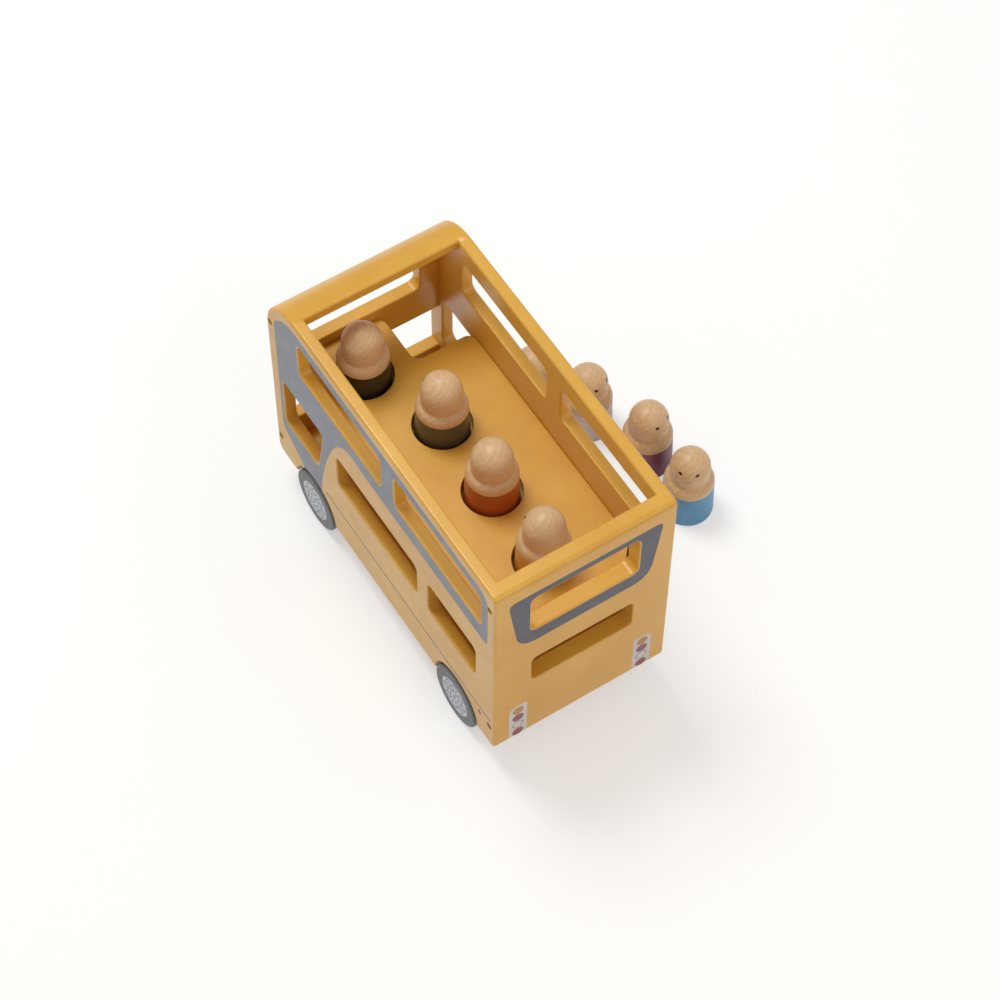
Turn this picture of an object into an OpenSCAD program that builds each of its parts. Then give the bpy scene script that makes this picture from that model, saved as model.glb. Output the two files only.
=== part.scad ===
// Wooden double-deck toy bus with peg passengers
// The bus drives towards +X, its left side faces +Y and +Z is up.
// The origin lies on the floor, in the middle of the area that the whole set covers.

/* [Body] */
// Length of the bus from its rear face to its front face
bus_length = 280; // [276:1:296]
// Width of the bus over its two side boards
bus_width = 135; // [132:1:150]
// Height of the side boards, from their lower edge to the open rim
board_height = 194; // [190:1:205]
// Thickness of each side board
side_board = 9; // [8:0.5:10]
// Thickness of the rear board
rear_board = 12.5; // [10:0.5:14]
// Thickness of the front boards and of the roof lip
front_board = 10; // [9:0.5:12]
// Outer radius of the curve from the front into the roof lip
front_curve = 39; // [34:1:44]
// Depth of the roof lip, from the front face back to its edge
lip_depth = 37; // [35:1:40]
// Radius that rounds the rear corner of the rim
rim_round = 4; // [2:0.5:6]
// Height of the boards' lower edge in front of the front wheels
toe_rise = 4; // [2:0.5:6]
// Radius of the lower front corner
toe_round = 8; // [5:0.5:10]

/* [Upper windows] */
// Depth of the upper side windows' top edge below the open rim
upper_window_drop = 18; // [14:1:20]
// Height of the upper side windows
upper_window_height = 34; // [28:1:38]
// Board left between the rear face and the first upper side window
upper_rear_post = 16.5; // [15:0.5:20]
// Board left between the two upper side windows
upper_middle_post = 17; // [12:0.5:22]
// Board left between the second upper side window and the front face
upper_front_post = 41; // [36:1:50]
// Depth of the front window's top edge below the rim
front_window_drop = 28; // [26:1:34]
// Height of the board left between the windscreen and the front window
front_band = 32; // [26:1:36]
// Width of the front window
front_window_width = 89; // [70:1:90]
// Depth of the rear upper window's top edge below the rim
rear_window_drop = 22; // [18:1:26]
// Height of the rear upper window
rear_upper_height = 39; // [34:1:40]
// Width of the rear upper window
rear_upper_width = 80.5; // [70:0.5:90]
// Radius in the corners of the windows
window_round = 5; // [3:0.5:7]

/* [Lower windows] */
// Height of the lower side windows' sill
lower_sill = 66.5; // [62:0.5:70]
// Height of the lower side windows
lower_window_height = 34; // [28:1:36]
// Board left between the rear face and the rear lower side window
lower_rear_post = 23; // [22:0.5:26]
// Length of the rear lower side window
short_window_length = 58; // [50:1:60]
// Board left between the two lower side windows
lower_middle_post = 13.5; // [12:0.5:15]
// Board left between the long lower side window and the driver's window
driver_rear_post = 17.5; // [14:0.5:24]
// Height of the driver's window sill
driver_sill = 54; // [50:1:58]
// Height of the driver's window
driver_window_height = 49; // [40:1:50]
// Board left between the driver's window and the front face
driver_front_post = 15; // [14:0.5:18]
// Length of the driver's window along its sill
driver_sill_length = 43; // [36:1:44]
// How much further back the driver's window reaches at its top
driver_slant = 9; // [4:1:10]
// Height of the windscreen's lower edge
windscreen_sill = 43; // [38:1:46]
// Height of the windscreen opening
windscreen_height = 45; // [38:1:48]
// Height of the rear lower window's sill
rear_lower_sill = 67; // [62:1:70]
// Height of the rear lower window
rear_lower_height = 28; // [22:1:32]
// Width of the rear lower window
rear_lower_width = 77.5; // [66:0.5:86]

/* [Decks] */
// Height of the upper deck's floor above the boards' lower edge
upper_floor = 110.6; // [108:0.2:114]
// Thickness of the upper deck
upper_deck_board = 15; // [14:0.5:17]
// Height of the lower deck's floor
lower_floor = 22; // [20:0.5:24]
// Thickness of the lower deck
lower_deck_board = 16; // [15:0.5:17]
// Distance from the rear face to the rear seat of each deck
rear_seat = 51.5; // [48:0.5:56]
// Distance from the front face back to the front seat of each deck
front_seat = 44.3; // [42:0.1:50]
// How far the seats lie to the right of the bus's middle
seat_offset = 2.5; // [0:0.5:6]
// How far the front upper seat lies to the left of the bus's middle
front_seat_offset = 21; // [16:0.5:24]
// Depth of each seat recess
seat_depth = 11.5; // [9:0.5:12]
// Gap between a passenger's foot and the wall of the seat recess
seat_gap = 1.8; // [1.2:0.1:2.4]
// Length of the stairwell, from the front board back
stairwell_length = 43.5; // [36:0.5:46]
// Width of the stairwell, from the right side board inwards
stairwell_width = 44.7; // [30:0.1:46]
// Radius in the corners of the stairwell
stairwell_round = 7; // [4:1:9]

/* [Running gear] */
// Radius of the wheels
wheel_radius = 24; // [22:0.5:26]
// Width of the wheels
wheel_width = 9; // [8.5:0.5:9.5]
// How far the wheels stand out of the side boards
wheel_proud = 1; // [0.5:0.1:2]
// Radius that rounds the wheels' edges
wheel_round = 1.8; // [1:0.2:2.4]
// Distance from the front face back to the front axle
front_overhang = 50.3; // [48:0.1:54]
// Distance from the rear face to the rear axle
rear_overhang = 47.3; // [46:0.1:52]
// Gap between the wheels and their arches
arch_gap = 2; // [1.5:0.25:4]
// Radius of the steel axles
axle_radius = 2.5; // [2:0.1:3]
// Radial running clearance of the axles in their blocks
axle_clearance = 0.08; // [0.04:0.01:0.1]
// Depth of the axle's seat in the wheel
axle_seat = 6.5; // [5:0.5:7]
// Length of each axle block along the bus
axle_block_length = 26; // [20:1:32]
// Wood left under the axle in its block
axle_block_wall = 5; // [4:0.5:7]
// Gap between an axle block and each wheel
axle_block_gap = 1.5; // [1:0.25:3]

/* [Passengers] */
// Radius of a passenger's body at its foot
peg_radius = 18.8; // [18:0.1:19.4]
// Radius of a passenger's body at its shoulders
shoulder_radius = 17.8; // [17.5:0.1:18]
// Height of a passenger
peg_height = 64; // [60:1:66]
// Height of a passenger's shoulders
shoulder_height = 38; // [35:0.5:40]
// Radius that rounds the shoulders
shoulder_round = 4.5; // [3:0.5:4.5]
// Radius of a passenger's head
head_radius = 14.2; // [12.5:0.1:15]
// Height of the straight stretch between the two round halves of the head
head_stretch = 6; // [3:0.5:8]
// Radius that rounds the foot of a passenger
foot_round = 1; // [0.5:0.1:2]

/* [Fasteners] */
// Radius of the screw shanks
screw_radius = 1.6; // [1.2:0.1:2]
// Radius of the screw heads
screw_head_radius = 2.7; // [2.4:0.1:3.2]
// Thickness of the screw heads
screw_head_height = 2; // [1.5:0.1:2.5]
// How deep the screw heads lie in the side boards
screw_sink = 1.5; // [1:0.1:2.5]
// Length of the screws' grip in the end boards
screw_grip = 10; // [7:0.5:11]
// Height of the lower screws
low_screw_height = 23; // [20:0.5:26]
// Depth of the upper front screws below the rim
front_screw_drop = 34.3; // [30:0.1:38]
// Depth of the upper rear screws below the rim
rear_screw_drop = 19.4; // [15:0.2:20]
// Radius of the dowels that carry the decks
dowel_radius = 3; // [2.5:0.25:3.5]
// Length of a dowel in the side board
dowel_bite = 5; // [4:0.5:6]
// Length of a dowel in the deck
dowel_reach = 12; // [9:0.5:13]

/* [Hidden] */

// Round faces and the steps of an arc in an outline
$fn = 96;
arc_steps = 8;
// How far a cut runs past the face that it opens
overrun = 1;
// Radius in the corners of the narrow rear lower window, as a share of the others'
rear_round_share = 0.8;

// Colours
honey = [0.87, 0.66, 0.33];
beech = [0.84, 0.68, 0.52];
steel = [0.74, 0.75, 0.76];
screw_brown = [0.30, 0.21, 0.13];
tyre_grey = [0.42, 0.43, 0.45];
charcoal = [0.16, 0.14, 0.12];
olive = [0.31, 0.29, 0.20];
rust = [0.62, 0.27, 0.09];
mustard = [0.80, 0.60, 0.24];
blue = [0.31, 0.52, 0.63];
burgundy = [0.42, 0.14, 0.21];
rose = [0.80, 0.72, 0.73];
sand = [0.78, 0.66, 0.48];

// Planes of the bus, measured from the middle of its length and width
rear_x = -bus_length / 2;
front_x = bus_length / 2;
inner_rear_x = rear_x + rear_board;
inner_front_x = front_x - front_board;
outer_y = bus_width / 2;
inner_y = outer_y - side_board;
inner_width = 2 * inner_y;

// Running gear
rear_axle_x = rear_x + rear_overhang;
front_axle_x = front_x - front_overhang;
wheelbase = front_axle_x - rear_axle_x;
arch_radius = wheel_radius + arch_gap;
wheel_outer_y = outer_y + wheel_proud;
wheel_inner_y = wheel_outer_y - wheel_width;
axle_length = 2 * (wheel_inner_y + axle_seat);
block_width = 2 * (wheel_inner_y - axle_block_gap);

// Windows of the side boards
upper_window_length = (bus_length - upper_rear_post - upper_middle_post - upper_front_post) / 2;
upper_sill = board_height - upper_window_drop - upper_window_height;
first_upper_x = rear_x + upper_rear_post;
second_upper_x = first_upper_x + upper_window_length + upper_middle_post;
short_window_x = rear_x + lower_rear_post;
long_window_x = short_window_x + short_window_length + lower_middle_post;
driver_front_x = front_x - driver_front_post;
driver_rear_x = driver_front_x - driver_sill_length;
driver_top_x = driver_rear_x - driver_slant;
long_window_length = driver_top_x - driver_rear_post - long_window_x;

// Windows of the end boards
rear_upper_sill = board_height - rear_window_drop - rear_upper_height;
windscreen_top = windscreen_sill + windscreen_height;
front_sill = windscreen_top + front_band;
front_window_height = board_height - front_window_drop - front_sill;

// Decks and seats
seat_radius = peg_radius + seat_gap;
seats = 4;
seat_pitch = (bus_length - rear_seat - front_seat) / (seats - 1);
seat_x = [for (k = [0:seats - 1]) rear_x + rear_seat + k * seat_pitch];
upper_seat_y = [-seat_offset, -seat_offset, -seat_offset, front_seat_offset];
upper_dowel_x = [
    (inner_rear_x + short_window_x) / 2,
    long_window_x - lower_middle_post / 2,
    driver_top_x - driver_rear_post / 2];
upper_dowel_z = upper_floor - upper_deck_board / 2;
lower_dowel_shares = [0.23, 0.5, 0.77];
lower_dowel_x = [for (share = lower_dowel_shares) rear_axle_x + share * wheelbase];
lower_dowel_z = lower_floor - lower_deck_board / 2;

// Screws
rear_screw_x = rear_x + rear_board / 2;
front_screw_x = front_x - front_board / 2;
rear_screw_height = board_height - rear_screw_drop;
front_screw_height = board_height - front_screw_drop;
screw_places = [
    [rear_screw_x, low_screw_height], [rear_screw_x, rear_screw_height],
    [front_screw_x, low_screw_height], [front_screw_x, front_screw_height]];
slot_share = 0.3;

// Places of the four passengers who stand beside the bus, from the rear to the front:
// along the bus as shares of its length, and out from its side as shares of a peg's width
standing_along_shares = [-0.139, 0.029, 0.203, 0.32];
standing_out_shares = [1.895, 1.818, 1.325, 0.673];
standing_x = [for (share = standing_along_shares) share * bus_length];
standing_reach = [for (share = standing_out_shares) outer_y + share * 2 * peg_radius];
crowd_reach = max(standing_reach) + 2 * peg_radius;

// The bus stands left of the origin, because its passengers stand on its right
bus_y = (crowd_reach - wheel_outer_y) / 2;

// Vectors and outlines
function unit(v) = v / norm(v);

// Points of an arc about a centre
function arc(centre, radius, from, to) =
    [for (k = [0:arc_steps])
        let (a = from + (to - from) * k / arc_steps) centre + radius * [cos(a), sin(a)]];

// One corner of an outline, rounded: a and b are its neighbours, anticlockwise
function corner(a, p, b, radius) = let (
    ua = unit(a - p),
    ub = unit(b - p),
    half = acos(ua * ub) / 2,
    centre = p + unit(ua + ub) * radius / sin(half),
    start = p + ua * radius / tan(half) - centre,
    end = p + ub * radius / tan(half) - centre,
    from = atan2(start.y, start.x),
    turn = atan2(end.y, end.x) - from,
    sweep = turn > 180 ? turn - 360 : turn < -180 ? turn + 360 : turn)
    radius > 0 ? arc(centre, radius, from, from + sweep) : [p];

// An outline with one radius for each of its points
function rounded(points, radii) = let (n = len(points))
    [for (k = [0:n - 1])
        each corner(points[(k + n - 1) % n], points[k], points[(k + 1) % n], radii[k])];

// A rectangle with equal radii in its corners, from its lower rear corner
function window_outline(x, z, length, height, radius = window_round) =
    rounded([[x, z], [x + length, z], [x + length, z + height], [x, z + height]],
        [radius, radius, radius, radius]);

// Puts a piece of the bus in its place above the floor
module on_bus() {
    translate([0, bus_y, wheel_radius])
        children();
}

// Stands an outline drawn in X and Z up, with its thickness centred on Y
module across(thickness, y = 0) {
    translate([0, y + thickness / 2, 0])
        rotate([90, 0, 0])
            linear_extrude(thickness)
                children();
}

// Stands an outline drawn in Y and Z up, with its thickness running forwards from x
module along(thickness, x) {
    translate([x, 0, 0])
        rotate([90, 0, 90])
            linear_extrude(thickness)
                children();
}

// Side boards

module side_outline() {
    difference() {
        polygon(rounded(
            [[rear_x, 0], [front_axle_x, 0], [front_axle_x, toe_rise], [front_x, toe_rise],
                [front_x, board_height], [rear_x, board_height]],
            [rim_round, 0, 0, toe_round, front_curve, rim_round]));
        for (x = [rear_axle_x, front_axle_x])
            translate([x, 0])
                circle(arch_radius);
        for (x = [first_upper_x, second_upper_x])
            polygon(window_outline(x, upper_sill, upper_window_length, upper_window_height));
        polygon(window_outline(short_window_x, lower_sill, short_window_length, lower_window_height));
        polygon(window_outline(long_window_x, lower_sill, long_window_length, lower_window_height));
        polygon(rounded(
            [[driver_rear_x, driver_sill], [driver_front_x, driver_sill],
                [driver_front_x, driver_sill + driver_window_height],
                [driver_top_x, driver_sill + driver_window_height]],
            [window_round, window_round, window_round, window_round]));
    }
}

// A side board: side is 1 on the left and -1 on the right
module side_panel(side) {
    color(honey)
        on_bus()
            difference() {
                across(side_board, side * (outer_y - side_board / 2))
                    side_outline();
                screw_holes(side);
                dowel_holes(side);
            }
}

module left_side_panel() side_panel(1);

module right_side_panel() side_panel(-1);

// End boards

module rear_panel() {
    top_radii = [0, 0, rim_round / 2, rim_round];
    color(honey)
        on_bus()
            difference() {
                across(inner_width)
                    polygon(rounded(
                        [[rear_x, 0], [inner_rear_x, 0],
                            [inner_rear_x, board_height], [rear_x, board_height]],
                        top_radii));
                along(rear_board + 2 * overrun, rear_x - overrun)
                    polygon(window_outline(-rear_upper_width / 2, rear_upper_sill,
                        rear_upper_width, rear_upper_height));
                along(rear_board + 2 * overrun, rear_x - overrun)
                    polygon(window_outline(-rear_lower_width / 2, rear_lower_sill,
                        rear_lower_width, rear_lower_height, window_round * rear_round_share));
                for (side = [-1, 1])
                    screw_holes(side);
            }
}

// Upper front board: it stands over the windscreen and curves back into the roof lip
module front_upper_panel() {
    curve_centre = [front_x - front_curve, board_height - front_curve];
    inner_curve = front_curve - front_board;
    // Each edge of the lip is rounded, and meets the curve where their circles touch
    top_x = front_x - lip_depth + rim_round / 2;
    top_turn = acos(max(0, top_x - curve_centre.x) / (front_curve - rim_round / 2));
    top_z = curve_centre.y + (front_curve - rim_round / 2) * sin(top_turn);
    under_x = front_x - lip_depth + rim_round;
    under_turn = acos(max(0, under_x - curve_centre.x) / (inner_curve + rim_round));
    under_z = curve_centre.y + (inner_curve + rim_round) * sin(under_turn);
    color(honey)
        on_bus()
            difference() {
                across(inner_width)
                    polygon([
                        [inner_front_x, windscreen_top],
                        [front_x, windscreen_top],
                        each arc(curve_centre, front_curve, 0, top_turn),
                        each arc([top_x, top_z], rim_round / 2, top_turn, 180),
                        each arc([under_x, under_z], rim_round, 180, 180 + under_turn),
                        each arc(curve_centre, inner_curve, under_turn, 0)]);
                along(front_curve + 2 * overrun, curve_centre.x - overrun)
                    polygon(window_outline(-front_window_width / 2, front_sill,
                        front_window_width, front_window_height));
                for (side = [-1, 1])
                    screw_holes(side);
            }
}

module front_lower_panel() {
    color(honey)
        on_bus()
            difference() {
                across(inner_width)
                    polygon(rounded(
                        [[inner_front_x, toe_rise], [front_x, toe_rise],
                            [front_x, windscreen_sill], [inner_front_x, windscreen_sill]],
                        [0, toe_round, rim_round / 2, rim_round / 2]));
                for (side = [-1, 1])
                    screw_holes(side);
            }
}

// Decks

// The recesses that hold the passengers of one deck
module seat_recesses(floor_z, seat_y) {
    for (k = [0:len(seat_x) - 1])
        translate([seat_x[k], seat_y[k], floor_z - seat_depth])
            cylinder(h = seat_depth + overrun, r = seat_radius);
}

module upper_deck() {
    stair_x = inner_front_x - stairwell_length;
    stair_y = stairwell_width - inner_y;
    color(honey)
        on_bus()
            difference() {
                translate([0, 0, upper_floor - upper_deck_board])
                    linear_extrude(upper_deck_board)
                        polygon(rounded(
                            [[inner_rear_x, -inner_y], [stair_x, -inner_y], [stair_x, stair_y],
                                [inner_front_x, stair_y], [inner_front_x, inner_y],
                                [inner_rear_x, inner_y]],
                            [0, stairwell_round, stairwell_round, stairwell_round, 0, 0]));
                seat_recesses(upper_floor, upper_seat_y);
                for (side = [-1, 1])
                    dowel_holes(side);
            }
}

module lower_deck() {
    color(honey)
        on_bus()
            difference() {
                translate([inner_rear_x, -inner_y, lower_floor - lower_deck_board])
                    cube([inner_front_x - inner_rear_x, inner_width, lower_deck_board]);
                seat_recesses(lower_floor, [for (x = seat_x) -seat_offset]);
                for (side = [-1, 1])
                    dowel_holes(side);
            }
}

// Axle blocks under the lower deck

module axle_block(x) {
    block_top = lower_floor - lower_deck_board;
    block_height = block_top + axle_radius + axle_block_wall;
    color(beech)
        on_bus()
            difference() {
                translate([x - axle_block_length / 2, -block_width / 2, block_top - block_height])
                    cube([axle_block_length, block_width, block_height]);
                translate([x, 0, 0])
                    rotate([90, 0, 0])
                        cylinder(h = block_width + 2 * overrun,
                            r = axle_radius + axle_clearance, center = true);
            }
}

module front_axle_block() axle_block(front_axle_x);

module rear_axle_block() axle_block(rear_axle_x);

// Axles and wheels

module axle(x) {
    color(steel)
        on_bus()
            translate([x, 0, 0])
                rotate([90, 0, 0])
                    cylinder(h = axle_length, r = axle_radius, center = true);
}

module front_axle() axle(front_axle_x);

module rear_axle() axle(rear_axle_x);

// A wheel with its blind axle seat on the inside
module wheel(x, side) {
    color(tyre_grey)
        on_bus()
            translate([x, side * wheel_inner_y, 0])
                rotate([-side * 90, 0, 0])
                    rotate_extrude()
                        polygon([
                            [0, axle_seat],
                            [axle_radius, axle_seat],
                            [axle_radius, 0],
                            each arc([wheel_radius - wheel_round, wheel_round], wheel_round, -90, 0),
                            each arc([wheel_radius - wheel_round, wheel_width - wheel_round],
                                wheel_round, 0, 90),
                            [0, wheel_width]]);
}

module front_left_wheel() wheel(front_axle_x, 1);

module front_right_wheel() wheel(front_axle_x, -1);

module rear_left_wheel() wheel(rear_axle_x, 1);

module rear_right_wheel() wheel(rear_axle_x, -1);

// Screws through the side boards into the ends of the rear and front boards

// Runs its children inwards along Y from a side board's outer face, at each screw
module at_screws(side) {
    for (place = screw_places)
        translate([place[0], side * outer_y, place[1]])
            rotate([side * 90, 0, 0])
                children();
}

module screw_holes(side) {
    at_screws(side) {
        translate([0, 0, -overrun])
            cylinder(h = overrun + screw_sink + screw_head_height, r = screw_head_radius);
        cylinder(h = side_board + screw_grip, r = screw_radius);
    }
}

module side_screws(side) {
    slot_width = screw_head_radius * slot_share;
    color(screw_brown)
        on_bus()
            at_screws(side)
                difference() {
                    union() {
                        translate([0, 0, screw_sink])
                            cylinder(h = screw_head_height, r = screw_head_radius);
                        translate([0, 0, screw_sink])
                            cylinder(h = side_board + screw_grip - screw_sink, r = screw_radius);
                    }
                    for (turn = [0, 90])
                        rotate(turn)
                            translate([0, 0, screw_sink])
                                cube([screw_head_radius, slot_width, 2 * slot_width], center = true);
                }
}

module left_screws() side_screws(1);

module right_screws() side_screws(-1);

// Dowels between the side boards and the decks

// Runs its children outwards along Y from inside a deck, at each of its dowels
module at_dowels(side, places_x, z) {
    for (x = places_x)
        translate([x, side * (inner_y - dowel_reach), z])
            rotate([-side * 90, 0, 0])
                children();
}

module dowel_holes(side) {
    at_dowels(side, upper_dowel_x, upper_dowel_z)
        dowel();
    at_dowels(side, lower_dowel_x, lower_dowel_z)
        dowel();
}

module dowel() {
    cylinder(h = dowel_reach + dowel_bite, r = dowel_radius);
}

module upper_deck_dowels() {
    color(beech)
        on_bus()
            for (side = [-1, 1])
                at_dowels(side, upper_dowel_x, upper_dowel_z)
                    dowel();
}

module lower_deck_dowels() {
    color(beech)
        on_bus()
            for (side = [-1, 1])
                at_dowels(side, lower_dowel_x, lower_dowel_z)
                    dowel();
}

// Passengers

// A turned peg: a round body that narrows upwards, rounded shoulders and a tall round head
module peg(paint) {
    head_centre = peg_height - head_radius;
    neck_drop = head_centre - head_stretch - shoulder_height;
    neck_angle = asin(-neck_drop / head_radius);
    color(paint)
        rotate_extrude()
            polygon([
                [0, 0],
                each arc([peg_radius - foot_round, foot_round], foot_round, -90, 0),
                each arc([shoulder_radius - shoulder_round, shoulder_height - shoulder_round],
                    shoulder_round, 0, 90),
                each arc([0, head_centre - head_stretch], head_radius, neck_angle, 0),
                each arc([0, head_centre], head_radius, 0, 90)]);
}

// A passenger in a seat of the upper deck, counted from the rear
module seated(seat, paint) {
    on_bus()
        translate([seat_x[seat], upper_seat_y[seat], upper_floor - seat_depth])
            peg(paint);
}

module seated_passenger_1() seated(3, charcoal);

module seated_passenger_2() seated(2, olive);

module seated_passenger_3() seated(1, rust);

module seated_passenger_4() seated(0, mustard);

// A passenger on the floor beside the bus, counted from the rear
module standing(place, paint) {
    translate([standing_x[place], bus_y - standing_reach[place] - peg_radius, 0])
        peg(paint);
}

module standing_passenger_1() standing(0, blue);

module standing_passenger_2() standing(1, burgundy);

module standing_passenger_3() standing(2, rose);

module standing_passenger_4() standing(3, sand);

left_side_panel();
right_side_panel();
rear_panel();
front_upper_panel();
front_lower_panel();
upper_deck();
lower_deck();
front_axle_block();
rear_axle_block();
left_screws();
right_screws();
upper_deck_dowels();
lower_deck_dowels();
front_axle();
rear_axle();
front_left_wheel();
front_right_wheel();
rear_left_wheel();
rear_right_wheel();
seated_passenger_1();
seated_passenger_2();
seated_passenger_3();
seated_passenger_4();
standing_passenger_1();
standing_passenger_2();
standing_passenger_3();
standing_passenger_4();
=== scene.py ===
import math

import bmesh
import bpy
from mathutils import Matrix, Vector


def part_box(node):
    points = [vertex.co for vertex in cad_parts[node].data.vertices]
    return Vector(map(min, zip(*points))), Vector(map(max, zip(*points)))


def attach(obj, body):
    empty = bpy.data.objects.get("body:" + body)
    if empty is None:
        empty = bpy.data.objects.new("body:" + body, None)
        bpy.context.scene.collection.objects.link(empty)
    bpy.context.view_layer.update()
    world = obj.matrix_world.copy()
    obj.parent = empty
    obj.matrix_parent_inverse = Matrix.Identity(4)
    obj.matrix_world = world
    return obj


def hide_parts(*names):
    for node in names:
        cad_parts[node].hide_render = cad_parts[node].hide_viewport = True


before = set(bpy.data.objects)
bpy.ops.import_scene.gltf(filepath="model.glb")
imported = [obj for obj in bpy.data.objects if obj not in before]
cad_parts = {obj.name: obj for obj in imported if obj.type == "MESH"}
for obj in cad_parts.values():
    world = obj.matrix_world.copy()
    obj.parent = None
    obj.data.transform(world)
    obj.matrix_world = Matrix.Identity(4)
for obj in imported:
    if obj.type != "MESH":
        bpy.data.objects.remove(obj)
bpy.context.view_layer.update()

# Double-deck wooden toy bus with peg passengers.
# Sizes are in millimetres. The bus is modelled round the middle of its length and width,
# with zero at the lower edge of its boards, and goes to its place when it is done.
mm = 0.001
thin = 0.05       # how deep the printed areas lie in the paint
far = 400         # reaches past everything
past = 5          # how far a cutter goes beyond what it cuts
hair = 0.02       # keeps faces from lying on one another
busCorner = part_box("left_side_panel")


def deselectAll():
    if bpy.context.mode != "OBJECT":
        bpy.ops.object.mode_set(mode="OBJECT")
    bpy.ops.object.select_all(action="DESELECT")


def only(piece):
    deselectAll()
    piece.select_set(True)
    bpy.context.view_layer.objects.active = piece


def nameIt(name):
    piece = bpy.context.object
    piece.name = name
    piece.data.name = name
    return piece


def addBlock(name, low, high):
    deselectAll()
    low, high = Vector(low) * mm, Vector(high) * mm
    bpy.ops.mesh.primitive_cube_add(size=1, location=(low + high) / 2)
    piece = nameIt(name)
    piece.scale = high - low
    bpy.ops.object.transform_apply(location=True, rotation=True, scale=True)
    return piece


def addRod(name, middle, radius, length, turn=(0, 0, 0), sides=96):
    deselectAll()
    bpy.ops.mesh.primitive_cylinder_add(vertices=sides, radius=radius * mm, depth=length * mm,
                                        location=Vector(middle) * mm, rotation=turn)
    piece = nameIt(name)
    bpy.ops.object.transform_apply(location=True, rotation=True, scale=True)
    return piece


alongX = (0, math.pi / 2, 0)
alongY = (math.pi / 2, 0, 0)


def drawOutline(name, points, closed=True):
    # one vertex, extruded from point to point
    deselectAll()
    bpy.ops.mesh.primitive_plane_add(size=mm, location=(0, 0, 0))
    piece = nameIt(name)
    bpy.ops.object.mode_set(mode="EDIT")
    bpy.ops.mesh.select_mode(type="VERT")
    bpy.ops.mesh.select_all(action="SELECT")
    bpy.ops.mesh.merge(type="CENTER")
    here = Vector(points[0]) * mm
    bpy.ops.transform.translate(value=here)
    for point in points[1:]:
        there = Vector(point) * mm
        bpy.ops.mesh.extrude_region_move(TRANSFORM_OT_translate={"value": there - here})
        here = there
    bpy.ops.mesh.select_all(action="SELECT")
    if closed:
        bpy.ops.mesh.edge_face_add()
    bpy.ops.object.mode_set(mode="OBJECT")
    return piece


def thicken(piece, push):
    only(piece)
    bpy.ops.object.mode_set(mode="EDIT")
    bpy.ops.mesh.select_all(action="SELECT")
    bpy.ops.mesh.extrude_region_move(TRANSFORM_OT_translate={"value": Vector(push) * mm})
    bpy.ops.mesh.select_all(action="SELECT")
    bpy.ops.mesh.normals_make_consistent(inside=False)
    bpy.ops.object.mode_set(mode="OBJECT")
    return piece


def turnOnLathe(name, profile, steps=72):
    # the profile is drawn in X and Z, and spun round Z
    piece = drawOutline(name, [(radius, 0, height) for radius, height in profile], closed=False)
    bpy.ops.object.mode_set(mode="EDIT")
    bpy.ops.mesh.select_all(action="SELECT")
    bpy.ops.mesh.spin(steps=steps, angle=2 * math.pi, center=(0, 0, 0), axis=(0, 0, 1))
    bpy.ops.mesh.select_all(action="SELECT")
    bpy.ops.mesh.remove_doubles(threshold=0.01 * mm)
    bpy.ops.mesh.normals_make_consistent(inside=False)
    bpy.ops.object.mode_set(mode="OBJECT")
    return piece


def arc(middle, radius, start, end, steps=8):
    return [(middle[0] + radius * math.cos(math.radians(start + (end - start) * k / steps)),
             middle[1] + radius * math.sin(math.radians(start + (end - start) * k / steps)))
            for k in range(steps + 1)]


def roundOff(points, radius, steps=5):
    # an outline with its corners rounded
    made = []
    for k, point in enumerate(points):
        corner = Vector(point)
        before = (Vector(points[k - 1]) - corner)
        after = (Vector(points[(k + 1) % len(points)]) - corner)
        reach = min(radius, before.length * 0.49, after.length * 0.49)
        start, end = corner + before.normalized() * reach, corner + after.normalized() * reach
        for i in range(steps + 1):
            t = i / steps
            made.append(tuple(start * (1 - t) ** 2 + corner * 2 * t * (1 - t) + end * t * t))
    return made


def pickEdges(piece, test):
    only(piece)
    bpy.ops.object.mode_set(mode="EDIT")
    bpy.ops.mesh.select_mode(type="EDGE")
    bpy.ops.mesh.select_all(action="DESELECT")
    mesh = bmesh.from_edit_mesh(piece.data)
    found = 0
    for edge in mesh.edges:
        if test(edge):
            edge.select_set(True)
            found += 1
    bmesh.update_edit_mesh(piece.data)
    return found


def pickFaces(piece, test):
    only(piece)
    bpy.ops.object.mode_set(mode="EDIT")
    bpy.ops.mesh.select_mode(type="FACE")
    bpy.ops.mesh.select_all(action="DESELECT")
    mesh = bmesh.from_edit_mesh(piece.data)
    for face in mesh.faces:
        if test(face):
            face.select_set(True)
    bmesh.update_edit_mesh(piece.data)


def centreOf(face):
    return face.calc_center_median() / mm


def roundEdges(piece, test, radius, segments=4):
    # bevels the edges that pass the test, and marks the new faces as worn edges
    if pickEdges(piece, test):
        bpy.ops.mesh.bevel(offset=radius * mm, segments=segments, profile=0.5, affect="EDGES",
                           clamp_overlap=False)
        mesh = bmesh.from_edit_mesh(piece.data)
        worn = mesh.faces.layers.float.get("wornEdge") or mesh.faces.layers.float.new("wornEdge")
        for face in mesh.faces:
            if face.select:
                face[worn] = 1.0
        bmesh.update_edit_mesh(piece.data)
    bpy.ops.object.mode_set(mode="OBJECT")


def middleOf(edge):
    return (edge.verts[0].co + edge.verts[1].co) / 2 / mm


def runs(edge, axis):
    return abs((edge.verts[1].co - edge.verts[0].co).normalized()[axis]) > 0.999


def lies(edge, axis, place, slack=0.06):
    return all(abs(v.co[axis] / mm - place) < slack for v in edge.verts)


def sharp(edge):
    return (len(edge.link_faces) == 2 and edge.is_convex
            and edge.calc_face_angle(0) > math.radians(35))


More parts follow.
